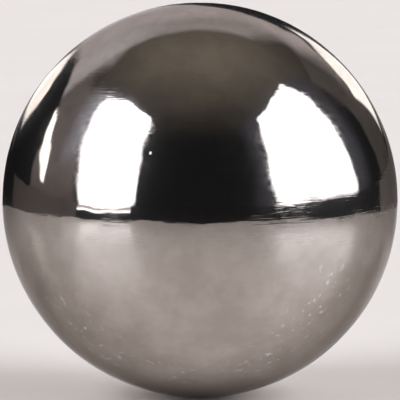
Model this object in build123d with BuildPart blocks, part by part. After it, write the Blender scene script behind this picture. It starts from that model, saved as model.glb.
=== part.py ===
"""Mirror-polished hollow steel sphere, in millimetres.

Two pressed half shells are butt-welded round the equator. Outside, the weld is
ground flush and polished until it can't be seen. Inside, its root bead is left
standing round the sealed hollow. The finished ball is one piece of metal.

The origin is the centre of the ball and +Z runs through the two poles, which is
the direction that the half shells are pressed in. The seam lies on the XY plane.
"""

import os

from build123d import *

# Driving dimensions
ball_diameter = 100.0
wall_thickness = 1.0
weld_root_width = 3.0
weld_root_height = 0.5

# Radii that follow from them
ball_radius = ball_diameter / 2
hollow_radius = ball_radius - wall_thickness
weld_root_radius = hollow_radius - weld_root_height

# Where the root bead runs out into the inner wall, above and below the seam
bead_edge_height = weld_root_width / 2
bead_edge_radius = (hollow_radius**2 - bead_edge_height**2) ** 0.5

with BuildPart() as sphere:
    # The polished outside, a half disc turned once round the polar axis
    with BuildSketch(Plane.XZ):
        with BuildLine():
            CenterArc((0, 0), ball_radius, -90, 180)
            Line((0, ball_radius), (0, -ball_radius))
        make_face()
    revolve(axis=Axis.Z)

    # The sealed hollow, with a waist round the seam that leaves the root bead standing
    with BuildSketch(Plane.XZ):
        with BuildLine():
            lower_shell = RadiusArc(
                (0, -hollow_radius), (bead_edge_radius, -bead_edge_height), -hollow_radius
            )
            root_bead = ThreePointArc(
                lower_shell @ 1,
                (weld_root_radius, 0),
                (bead_edge_radius, bead_edge_height),
            )
            upper_shell = RadiusArc(root_bead @ 1, (0, hollow_radius), -hollow_radius)
            Line(upper_shell @ 1, lower_shell @ 0)
        make_face()
    revolve(axis=Axis.Z, mode=Mode.SUBTRACT)

sphere.part.label = "sphere"

os.makedirs("parts", exist_ok=True)
export_step(sphere.part, "parts/sphere.step")
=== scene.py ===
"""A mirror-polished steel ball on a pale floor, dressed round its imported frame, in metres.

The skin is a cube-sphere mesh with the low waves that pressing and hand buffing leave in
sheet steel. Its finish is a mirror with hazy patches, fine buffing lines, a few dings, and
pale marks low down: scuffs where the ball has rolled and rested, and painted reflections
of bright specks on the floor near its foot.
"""

import math
from collections import namedtuple

import bmesh
import bpy
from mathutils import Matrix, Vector, noise


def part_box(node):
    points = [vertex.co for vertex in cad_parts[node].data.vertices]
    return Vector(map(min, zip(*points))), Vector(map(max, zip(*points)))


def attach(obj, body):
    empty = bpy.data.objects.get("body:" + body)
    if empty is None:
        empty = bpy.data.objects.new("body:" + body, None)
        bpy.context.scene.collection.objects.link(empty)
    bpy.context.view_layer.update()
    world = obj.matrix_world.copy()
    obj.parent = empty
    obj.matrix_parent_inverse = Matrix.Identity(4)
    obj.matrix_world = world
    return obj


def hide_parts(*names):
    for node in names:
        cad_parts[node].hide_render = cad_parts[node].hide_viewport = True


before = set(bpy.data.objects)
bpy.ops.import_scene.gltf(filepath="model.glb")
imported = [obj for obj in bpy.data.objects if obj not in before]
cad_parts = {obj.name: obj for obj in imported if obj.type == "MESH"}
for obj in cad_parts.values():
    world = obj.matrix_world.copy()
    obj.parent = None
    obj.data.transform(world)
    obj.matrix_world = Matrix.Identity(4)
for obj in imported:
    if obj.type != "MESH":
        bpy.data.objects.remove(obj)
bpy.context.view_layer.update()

# The ball, from the frame
ball_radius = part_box("sphere")[1].z
floor_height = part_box("sphere")[0].z

# Units, which follow the ball when it is scaled
ball_radius_mm = 50
mm = ball_radius / ball_radius_mm
micron = mm / 1000

# The skin's mesh
skin_cuts_per_side = 120
uv_columns = 3
uv_rows = 2
uv_gutter_share = 0.01

# Waves left by pressing and buffing: (half the length of a wave, depth of the deepest)
press_wave = (13 * mm, 150 * micron)
buff_wave = (4.5 * mm, 50 * micron)

# A range says where a mark begins to show in its noise, which runs from 0 to 1, and where it is full.

# Steel, with smudges
steel_colour = (0.47, 0.425, 0.39, 1)
smudged_colour = (0.40, 0.358, 0.326, 1)
edge_tint = (0.42, 0.405, 0.395, 1)
smudge_size = 9 * mm
smudge_detail = 6
smudge_detail_strength = 0.65
smudge_range = (0.35, 0.65)

# Peel: the fine unevenness of buffed sheet, all over
peel_size = 1.6 * mm
peel_depth = 6 * micron

# Haze: patches that the last polish left duller, with fine buffing lines round the poles
clean_roughness = 0.04
hazy_roughness = 0.11
haze_patch_size = 18 * mm
haze_patch_detail = 3
haze_patch_range = (0.42, 0.62)
haze_grain_size = 1.5 * mm
haze_grain_range = (0.3, 0.6)
line_length = 7 * mm
line_pitch = 0.5 * mm
line_range = (0.45, 0.75)
line_depth = 7 * micron

# A thin film of handling grease
film_weight = 0.15
film_roughness = 0.3
film_ior = 1.8

# Dings: small round dents, each at an azimuth from the camera's side and an elevation, in degrees
ding_radius = 0.8 * mm
ding_depth = 30 * micron
ding_places = ((-15.3, 19.2), (38, -31), (97, 24), (152, -12), (-158, 33), (-104, -22))

# Scuffs and painted reflections: small pale marks in patches low on the ball, partly wear and
# partly painted reflections of bright specks on the floor near the ball's foot. Each patch is at
# an azimuth and an elevation, in degrees. The front ones lie along an arc near the lower rim,
# where the reflected floor specks lie.
scuff_and_reflection_size = 1.9 * mm
scuff_and_reflection_range = (0.60, 0.70)
scuff_and_painted_reflection_colour = (0.66, 0.638, 0.618, 1)
scuff_and_reflection_roughness = 0.3
scuff_and_reflection_patch_radius = 14 * mm
front_scuff_and_reflection_places = ((-50, -31), (-38, -43), (-14, -53), (24, -51), (37, -38), (43, -24))
other_scuff_and_reflection_places = ((98, -38), (143, -47), (-158, -36), (-112, -44))
scuff_and_reflection_places = front_scuff_and_reflection_places + other_scuff_and_reflection_places

# Camera
camera_elevation = math.radians(6)
camera_distance = 28 * ball_radius
image_side_px = 400
ball_radius_px = 198

# Floor, and the varnish over it near the ball
floor_half_width = 20
floor_colour = (0.835, 0.783, 0.737, 1)
floor_fleck_colour = (0.82, 0.767, 0.72, 1)
floor_fleck_size = 45 * mm
floor_fleck_detail = 8
floor_fleck_range = (0.3, 0.7)
varnish_half_width = 2
varnish_thickness = 0.1 * mm
varnish_colour = (1, 1, 1, 1)
varnish_roughness = 0.32
varnish_ior = 1.59

# Skirt: a strip that stands on the floor round the ball
skirt_distance = 455 * mm
skirt_steps = 40
skirt_top = 14 * mm
low_skirt_top = -18 * mm
skirt_dark = (0.015, 0.015, 0.016, 1)
skirt_brown = (0.095, 0.084, 0.08, 1)
skirt_grey = (0.20, 0.187, 0.182, 1)

# The skirt's parts: the azimuths of its two ends in degrees, its top, and its colour
SkirtPart = namedtuple("SkirtPart", "start end top colour")
skirt_parts = (
    SkirtPart(-180, -135, skirt_top, skirt_dark),
    SkirtPart(-135, -71.5, skirt_top, skirt_brown),
    SkirtPart(-71.5, -38, low_skirt_top, skirt_dark),
    SkirtPart(-38, 124, skirt_top, skirt_dark),
    SkirtPart(124, 180, skirt_top, skirt_grey),
)

# Studio tones
light_tone = (4.15, 4.25, 4.55, 1)
strip_tone = (3.8, 3.8, 3.8, 1)
backdrop_tone = (0.55, 0.515, 0.52, 1)
backdrop_foot_tone = (1.15, 1.08, 1.12, 1)
backdrop_glow_tone = (0.76, 0.765, 0.81, 1)
left_wall_tone = (0.212, 0.19, 0.19, 1)
left_wall_foot_tone = (0.14, 0.12, 0.112, 1)
left_glow_tone = (0.52, 0.54, 0.65, 1)
right_wall_tone = (0.13, 0.12, 0.115, 1)
right_glow_tone = (0.075, 0.078, 0.098, 1)
dark_tone = (0.014, 0.014, 0.015, 1)
overhead_tone = (0.26, 0.235, 0.20, 1)
below_tone = (0.8235, 0.779, 0.769, 1)
overhead_lean = math.radians(10)
overhead_begins = 0.45
horizon_softness = 0.005

# The azimuths that studio panels share, in degrees. Azimuth 0 is the camera's side.
left_light_azimuth = -65
left_wall_azimuth = -105
right_light_azimuth = 76
right_strip_azimuth = 158
backdrop_azimuth = 180


def upright(left, right, foot, head):
    """The corners of a panel with level and upright edges."""
    return ((left, foot), (right, foot), (right, head), (left, head))


# Panels of the studio, as they look from the ball. The corners run anticlockwise, as tangents of
# the angles from the panel's own azimuth and from the horizon. Softness is the width of its edge
# and rounding that of its corners. Later panels stand before earlier ones.
Panel = namedtuple("Panel", "azimuth corners tone softness rounding", defaults=(0.02, 0.02))
right_glow_corners = upright(-0.85, 0.88, 0.02, 1.40)
right_glow = Panel(right_light_azimuth, right_glow_corners, right_glow_tone, 0.25, 0.10)
right_wall_corners = ((-0.05, -0.10), (0.45, -0.10), (0.45, 0.88), (-0.36, 0.88))
right_wall = Panel(140, right_wall_corners, right_wall_tone, 0.03)
backdrop_corners = upright(-0.49, 1.35, -0.15, 1.5)
backdrop = Panel(backdrop_azimuth, backdrop_corners, backdrop_tone, 0.17)
backdrop_foot_corners = upright(-0.52, 1.35, -0.15, 0.75)
backdrop_foot = Panel(backdrop_azimuth, backdrop_foot_corners, backdrop_foot_tone, 0.35)
backdrop_glow = Panel(-148, upright(-0.30, 0.30, 0.60, 1.15), backdrop_glow_tone, 0.25)
left_wall_corners = upright(-0.42, 0.48, -0.1, 0.95)
left_wall = Panel(left_wall_azimuth, left_wall_corners, left_wall_tone, 0.08)
left_wall_foot_corners = upright(-0.42, 0.48, -0.1, 0.08)
left_wall_foot = Panel(left_wall_azimuth, left_wall_foot_corners, left_wall_foot_tone, 0.08)
left_glow_corners = ((-0.50, 0.42), (0.20, 0.42), (0.20, 1.35), (-0.85, 1.35))
left_glow = Panel(left_light_azimuth, left_glow_corners, left_glow_tone, 0.22, 0.10)
left_light_corners = (
    (-0.15, -0.08),
    (0.50, 0.03),
    (0.51, 1.20),
    (0.42, 1.39),
    (-0.37, 1.345),
    (-0.535, 1.19),
    (-0.215, 0.12),
)
left_light = Panel(left_light_azimuth, left_light_corners, light_tone, 0.03, 0.10)
right_light_corners = (
    (-0.58, 0.045),
    (0.545, 0.045),
    (0.515, 1.05),
    (0.40, 1.50),
    (-0.54, 1.28),
    (-0.61, 0.60),
)
right_light = Panel(right_light_azimuth, right_light_corners, light_tone, 0.03, 0.05)
right_low_wall_corners = upright(-0.31, 0.30, -0.10, 0.38)
right_low_wall = Panel(right_strip_azimuth, right_low_wall_corners, right_wall_tone)
right_screen_corners = (
    (0.10, -0.10),
    (0.46, -0.10),
    (0.44, 0.26),
    (0.36, 0.40),
    (0.22, 0.46),
    (0.10, 0.47),
)
right_screen = Panel(right_strip_azimuth, right_screen_corners, dark_tone)
right_strip_frame_corners = (
    (-0.02, 0.00),
    (0.22, 0.00),
    (0.22, 0.36),
    (-0.05, 0.43),
    (-0.18, 0.42),
    (-0.27, 0.33),
)
right_strip_frame = Panel(right_strip_azimuth, right_strip_frame_corners, dark_tone)
right_strip_corners = (
    (-0.01, 0.06),
    (0.17, 0.06),
    (0.17, 0.32),
    (-0.05, 0.39),
    (-0.16, 0.38),
    (-0.23, 0.31),
)
right_strip = Panel(right_strip_azimuth, right_strip_corners, strip_tone)
left_screen_corners = (
    (-0.62, -0.10),
    (0.50, -0.10),
    (0.50, 0.50),
    (0.20, 0.58),
    (-0.08, 0.50),
    (-0.56, 0.04),
)
left_screen = Panel(-145, left_screen_corners, dark_tone, 0.03)
left_strip_corners = (
    (0.13, 0.08),
    (0.17, 0.08),
    (0.17, 0.20),
    (0.12, 0.30),
    (-0.05, 0.46),
    (-0.16, 0.47),
    (-0.05, 0.27),
)
left_strip = Panel(-114.5, left_strip_corners, strip_tone, 0.015)
left_rim_strip_corners = (
    (-0.20, 0.02),
    (0.12, 0.10),
    (0.25, 0.24),
    (0.23, 0.32),
    (0.12, 0.33),
    (-0.09, 0.21),
)
left_rim_strip = Panel(-160, left_rim_strip_corners, strip_tone)
studio_panels = (
    right_glow,
    right_wall,
    backdrop,
    backdrop_foot,
    backdrop_glow,
    left_wall,
    left_wall_foot,
    left_glow,
    left_light,
    right_light,
    right_low_wall,
    right_screen,
    right_strip_frame,
    right_strip,
    left_screen,
    left_strip,
    left_rim_strip,
)


class Nodes:
    """A small writer for one node tree. Each call adds a node and returns its output."""

    def __init__(self, tree):
        self.tree = tree
        tree.nodes.clear()

    def add(self, kind, output=0, settings=(), **inputs):
        node = self.tree.nodes.new(kind)
        for name, value in dict(settings).items():
            setattr(node, name, value)
        for name, value in inputs.items():
            self.feed(node.inputs[name.replace("_", " ")], value)
        return node.outputs[output]

    def feed(self, socket, value):
        if isinstance(value, bpy.types.NodeSocket):
            self.tree.links.new(value, socket)
        else:
            socket.default_value = value

    def end(self, kind, surface):
        node = self.tree.nodes.new(kind)
        self.feed(node.inputs["Surface"], surface)

    def maths(self, operation, *values):
        node = self.tree.nodes.new("ShaderNodeMath")
        node.operation = operation
        for socket, value in zip(node.inputs, values):
            self.feed(socket, value)
        return node.outputs[0]

    def times(self, first, *others):
        for other in others:
            first = self.maths("MULTIPLY", first, other)
        return first

    def total(self, first, *others):
        for other in others:
            first = self.maths("ADD", first, other)
        return first

    def dot(self, vector, direction):
        node = self.tree.nodes.new("ShaderNodeVectorMath")
        node.operation = "DOT_PRODUCT"
        self.feed(node.inputs[0], vector)
        self.feed(node.inputs[1], direction)
        return node.outputs["Value"]

    def step(self, value, low, high):
        """0 below low, 1 above high, and smooth between them."""
        return self.add(
            "ShaderNodeMapRange",
            settings={"interpolation_type": "SMOOTHSTEP"},
            Value=value,
            From_Min=low,
            From_Max=high,
        )

    def between(self, share, first, second):
        """A number that goes from first to second."""
        return self.add("ShaderNodeMapRange", Value=share, To_Min=first, To_Max=second)

    def blend(self, share, first, second):
        """A colour that goes from first to second."""
        return self.add("ShaderNodeMixRGB", Fac=share, Color1=first, Color2=second)

    def mix_shaders(self, share, first, second):
        node = self.tree.nodes.new("ShaderNodeMixShader")
        for socket, value in zip(node.inputs, (share, first, second)):
            self.feed(socket, value)
        return node.outputs[0]

    def noise(self, vector, size, detail=2.0, roughness=0.5):
        """Clouds about as large as size, from 0 to 1."""
        return self.add(
            "ShaderNodeTexNoise",
            output="Fac",
            Vector=vector,
            Scale=1 / size,
            Detail=detail,
            Roughness=roughness,
        )

    def spot(self, vector, centre, radius):
        """One round spot with a smooth edge."""
        node = self.tree.nodes.new("ShaderNodeVectorMath")
        node.operation = "DISTANCE"
        self.feed(node.inputs[0], vector)
        self.feed(node.inputs[1], centre)
        return self.step(node.outputs["Value"], radius, 0.0)


def wave(direction, length, depth):
    """How far the skin lies below the true sphere, for one size of wave."""
    place = direction * (ball_radius / length)
    return depth * (1 + noise.noise(place)) / 2


def skin_point(cube_point):
    """Where a point of a cube from -1 to 1 lies on the ball's skin."""
    spread = Vector(math.tan(side * math.pi / 4) for side in cube_point)
    direction = spread.normalized()
    return direction * (ball_radius - wave(direction, *press_wave) - wave(direction, *buff_wave))


def ball_point(azimuth, elevation):
    """The point of the ball at two angles in degrees. Azimuth 0 is the camera's side."""
    turn = math.radians(azimuth)
    rise = math.radians(elevation)
    level = math.cos(rise)
    return ball_radius * Vector((level * math.sin(turn), -level * math.cos(turn), math.sin(rise)))


def lay_out(face, cube_places, uv_layer):
    """Lays each of the cube's six sides on its own tile of the texture map."""
    middle = sum((cube_places[v] for v in face.verts), Vector()) / len(face.verts)
    axis = max(range(3), key=lambda i: abs(middle[i]))
    column = axis
    row = 0 if middle[axis] > 0 else 1
    across, along = [i for i in range(3) if i != axis]
    room = 1 - 2 * uv_gutter_share
    for loop in face.loops:
        place = cube_places[loop.vert]
        u = uv_gutter_share + room * (place[across] + 1) / 2
        v = uv_gutter_share + room * (place[along] + 1) / 2
        loop[uv_layer].uv = ((column + u) / uv_columns, (row + v) / uv_rows)


def make_skin():
    """The ball's polished skin."""
    skin = bmesh.new()
    bmesh.ops.create_cube(skin, size=2)
    bmesh.ops.subdivide_edges(
        skin, edges=skin.edges[:], cuts=skin_cuts_per_side - 1, use_grid_fill=True
    )
    cube_places = {v: v.co.copy() for v in skin.verts}
    uv_layer = skin.loops.layers.uv.new("OFBake")
    for face in skin.faces:
        lay_out(face, cube_places, uv_layer)
        face.smooth = True
    for vertex in skin.verts:
        vertex.co = skin_point(cube_places[vertex])
    mesh = bpy.data.meshes.new("polished_skin")
    skin.to_mesh(mesh)
    skin.free()
    ball = bpy.data.objects.new("polished_skin", mesh)
    bpy.context.scene.collection.objects.link(ball)
    mesh.materials.append(polished_steel())
    return ball


def polished_steel():
    """Buffed steel: a mirror with smudges, hazy patches in fine lines, dings, and pale marks that are
    partly scuffs and partly painted reflections of floor specks.
    """
    material = bpy.data.materials.new("polished_steel")
    material.use_nodes = True
    nodes = Nodes(material.node_tree)
    place = nodes.add("ShaderNodeTexCoord", output="Object")

    along_lines = nodes.add(
        "ShaderNodeMapping",
        Vector=place,
        Scale=(1 / line_length, 1 / line_length, 1 / line_pitch),
    )
    lines = nodes.step(nodes.noise(along_lines, 1), *line_range)
    haze = nodes.step(nodes.noise(place, haze_patch_size, haze_patch_detail), *haze_patch_range)
    haze_grain = nodes.step(nodes.noise(place, haze_grain_size), *haze_grain_range)
    grainy_haze = nodes.times(haze, haze_grain)

    # Pale marks low down: partly scuffs, partly painted reflections of bright specks on the floor
    patches = [nodes.spot(place, ball_point(*angles), scuff_and_reflection_patch_radius) for angles in scuff_and_reflection_places]
    marks = nodes.step(nodes.noise(place, scuff_and_reflection_size), *scuff_and_reflection_range)
    scuffs_and_painted_reflections = nodes.times(marks, nodes.total(*patches))

    smudge_noise = nodes.noise(place, smudge_size, smudge_detail, smudge_detail_strength)
    smudges = nodes.step(smudge_noise, *smudge_range)
    steel = nodes.blend(smudges, steel_colour, smudged_colour)
    # Painted reflection: the pale marks lighten the steel's colour as scuffs and as reflected floor
    # specks
    colour = nodes.blend(scuffs_and_painted_reflections, steel, scuff_and_painted_reflection_colour)

    polish = nodes.between(grainy_haze, clean_roughness, hazy_roughness)
    roughness = nodes.maths("MAXIMUM", polish, nodes.times(scuffs_and_painted_reflections, scuff_and_reflection_roughness))

    dings = [nodes.spot(place, ball_point(*angles), ding_radius) for angles in ding_places]
    relief = nodes.total(
        nodes.times(nodes.noise(place, peel_size), peel_depth),
        nodes.times(lines, haze, line_depth),
        nodes.times(nodes.total(*dings), -ding_depth),
    )
    bump = nodes.add("ShaderNodeBump", Height=relief, Distance=1.0, Strength=1.0)

    surface = nodes.add(
        "ShaderNodeBsdfPrincipled",
        Base_Color=colour,
        Metallic=1.0,
        Roughness=roughness,
        Specular_Tint=edge_tint,
        Coat_Weight=film_weight,
        Coat_Roughness=film_roughness,
        Coat_IOR=film_ior,
        Normal=bump,
    )
    nodes.end("ShaderNodeOutputMaterial", surface)
    return material


def stage_object(name, points, faces, material):
    """A mesh that belongs to the stage and not to the ball."""
    mesh = bpy.data.meshes.new(name)
    mesh.from_pydata(points, [], faces)
    mesh.materials.append(material)
    made = bpy.data.objects.new(name, mesh)
    bpy.context.scene.collection.objects.link(made)
    return made


def stage_square(name, half_width, height, material):
    """A level square of the stage, centred under the ball."""
    corners = ((-1, -1), (1, -1), (1, 1), (-1, 1))
    points = [(x * half_width, y * half_width, height) for x, y in corners]
    return stage_object(name, points, [(0, 1, 2, 3)], material)


def show_in_reflections(piece):
    """Leaves a piece of the stage to the ball's reflections alone."""
    piece.visible_camera = False
    piece.visible_diffuse = False
    piece.visible_shadow = False


def make_floor():
    """A matte floor with faint flecks."""
    material = bpy.data.materials.new("pale_floor")
    material.use_nodes = True
    nodes = Nodes(material.node_tree)
    place = nodes.add("ShaderNodeTexCoord", output="Object")
    fleck_noise = nodes.noise(place, floor_fleck_size, floor_fleck_detail)
    flecks = nodes.step(fleck_noise, *floor_fleck_range)
    colour = nodes.blend(flecks, floor_colour, floor_fleck_colour)
    nodes.end("ShaderNodeOutputMaterial", nodes.add("ShaderNodeBsdfDiffuse", Color=colour))
    stage_square("floor", floor_half_width, floor_height, material)


def make_varnish():
    """A satin varnish over the floor near the ball, which only reflections show."""
    material = bpy.data.materials.new("varnish")
    material.use_nodes = True
    nodes = Nodes(material.node_tree)
    clear = nodes.add("ShaderNodeBsdfTransparent")
    gloss = nodes.add("ShaderNodeBsdfAnisotropic", Color=varnish_colour, Roughness=varnish_roughness)
    share = nodes.add("ShaderNodeFresnel", IOR=varnish_ior)
    nodes.end("ShaderNodeOutputMaterial", nodes.mix_shaders(share, clear, gloss))
    varnish_height = floor_height + varnish_thickness
    show_in_reflections(stage_square("varnish", varnish_half_width, varnish_height, material))


def make_skirt_part(part):
    """One stretch of a low strip round the ball, which only reflections show."""
    material = bpy.data.materials.new("skirt")
    material.use_nodes = True
    nodes = Nodes(material.node_tree)
    surface = nodes.add("ShaderNodeBsdfDiffuse", Color=part.colour)
    nodes.end("ShaderNodeOutputMaterial", surface)
    points = []
    for i in range(skirt_steps + 1):
        turn = math.radians(part.start + (part.end - part.start) * i / skirt_steps)
        x = skirt_distance * math.sin(turn)
        y = -skirt_distance * math.cos(turn)
        points += [(x, y, floor_height), (x, y, part.top)]
    faces = [(2 * i, 2 * i + 1, 2 * i + 3, 2 * i + 2) for i in range(skirt_steps)]
    show_in_reflections(stage_object("skirt", points, faces, material))


def panel_share(nodes, direction, panel):
    """1 where a direction meets the panel, and 0 elsewhere."""
    azimuth = math.radians(panel.azimuth)
    forward = nodes.dot(direction, (math.sin(azimuth), -math.cos(azimuth), 0))
    sideways = nodes.dot(direction, (math.cos(azimuth), math.sin(azimuth), 0))
    across = nodes.maths("DIVIDE", sideways, forward)
    up = nodes.maths("DIVIDE", nodes.dot(direction, (0, 0, 1)), forward)
    place = nodes.add("ShaderNodeCombineXYZ", X=across, Y=up, Z=1.0)
    reaches = []
    for start, end in zip(panel.corners, panel.corners[1:] + panel.corners[:1]):
        edge = Vector(end) - Vector(start)
        inward = Vector((-edge.y, edge.x)).normalized()
        reaches.append(nodes.dot(place, (inward.x, inward.y, -inward.dot(Vector(start)))))
    reach = reaches[0]
    for other in reaches[1:]:
        reach = nodes.maths("SMOOTH_MIN", reach, other, panel.rounding)
    inside = nodes.step(reach, -panel.softness, panel.softness)
    return nodes.times(nodes.maths("GREATER_THAN", forward, 0), inside)


def make_studio():
    """The light: two tall panels, small bright strips, grey walls and a dim glow overhead."""
    world = bpy.data.worlds.new("studio")
    bpy.context.scene.world = world
    world.use_nodes = True
    nodes = Nodes(world.node_tree)
    direction = nodes.add("ShaderNodeTexCoord", output="Generated")
    overhead = nodes.dot(direction, (0, math.sin(overhead_lean), math.cos(overhead_lean)))
    glow = nodes.add("ShaderNodeMapRange", Value=overhead, From_Min=overhead_begins, From_Max=1.0)
    tone = nodes.blend(nodes.times(glow, glow), dark_tone, overhead_tone)
    for panel in studio_panels:
        tone = nodes.blend(panel_share(nodes, direction, panel), tone, panel.tone)
    below = nodes.step(nodes.dot(direction, (0, 0, -1)), -horizon_softness, horizon_softness)
    tone = nodes.blend(below, tone, below_tone)
    light = nodes.add("ShaderNodeBackground", Color=tone, Strength=1.0)
    nodes.end("ShaderNodeOutputWorld", light)


def make_camera():
    """A long lens, so that the ball's outline fills the frame as a near-parallel view does."""
    lens = bpy.data.cameras.new("camera")
    outline = math.tan(math.asin(ball_radius / camera_distance))
    half_frame = outline * (image_side_px / 2) / ball_radius_px
    lens.lens = lens.sensor_width / 2 / half_frame
    camera = bpy.data.objects.new("camera", lens)
    bpy.context.scene.collection.objects.link(camera)
    back = Vector((0, -math.cos(camera_elevation), math.sin(camera_elevation)))
    camera.location = back * camera_distance
    camera.rotation_euler = (-back).to_track_quat("-Z", "Y").to_euler()
    lens.clip_end = floor_half_width
    bpy.context.scene.camera = camera


skin = make_skin()
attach(skin, "root")
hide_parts("sphere")

make_floor()
make_varnish()
for part in skirt_parts:
    make_skirt_part(part)
make_studio()
make_camera()
bpy.context.scene.view_settings.view_transform = "Standard"
